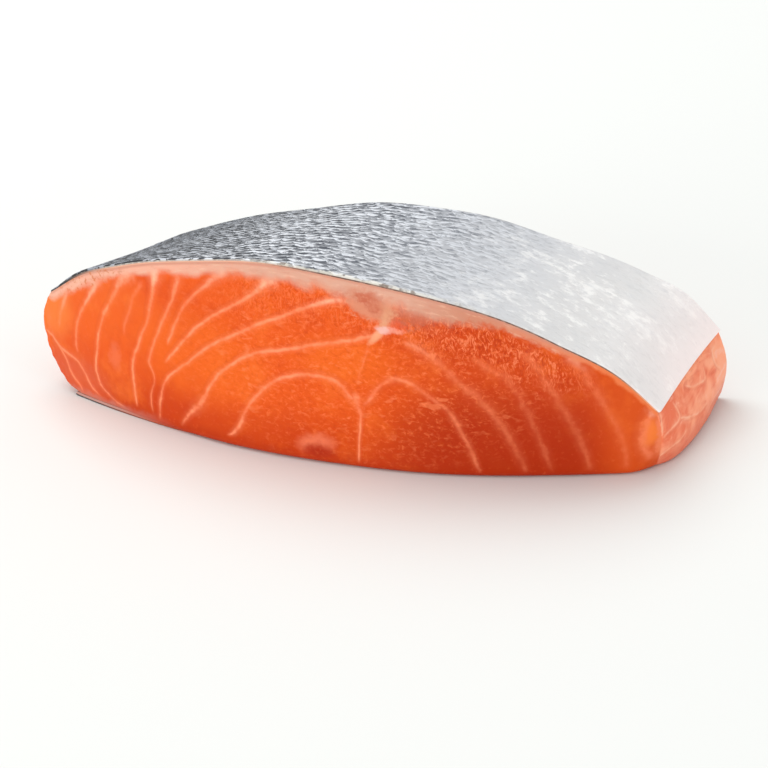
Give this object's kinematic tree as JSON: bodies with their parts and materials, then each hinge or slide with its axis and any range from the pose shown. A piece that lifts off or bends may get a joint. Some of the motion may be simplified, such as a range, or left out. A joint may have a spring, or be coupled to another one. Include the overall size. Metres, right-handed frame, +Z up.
{
  "type": "raw salmon fillet",
  "caption": "Raw salmon fillet portion lying skin up: a bowed slab of orange flesh with white lines, under scaly silver skin that darkens towards the back.",
  "frame": {"origin": "on the table, under the middle of the whole portion", "axes": "+X from the fish's back to its belly, +Y from the near cut to the far cut, +Z up"},
  "size_m": [0.1504, 0.0556, 0.0466],
  "materials": {
    "salmon_flesh": "moist raw flesh",
    "silver_skin": "wet fish skin with small scales, dark at the back and white at the belly",
    "dark_skin": "wet dark fish skin"
  },
  "bodies": {
    "root": {"flesh": "salmon_flesh", "skin": "silver_skin", "skin_strip": "dark_skin"}
  },
  "joints": []
}
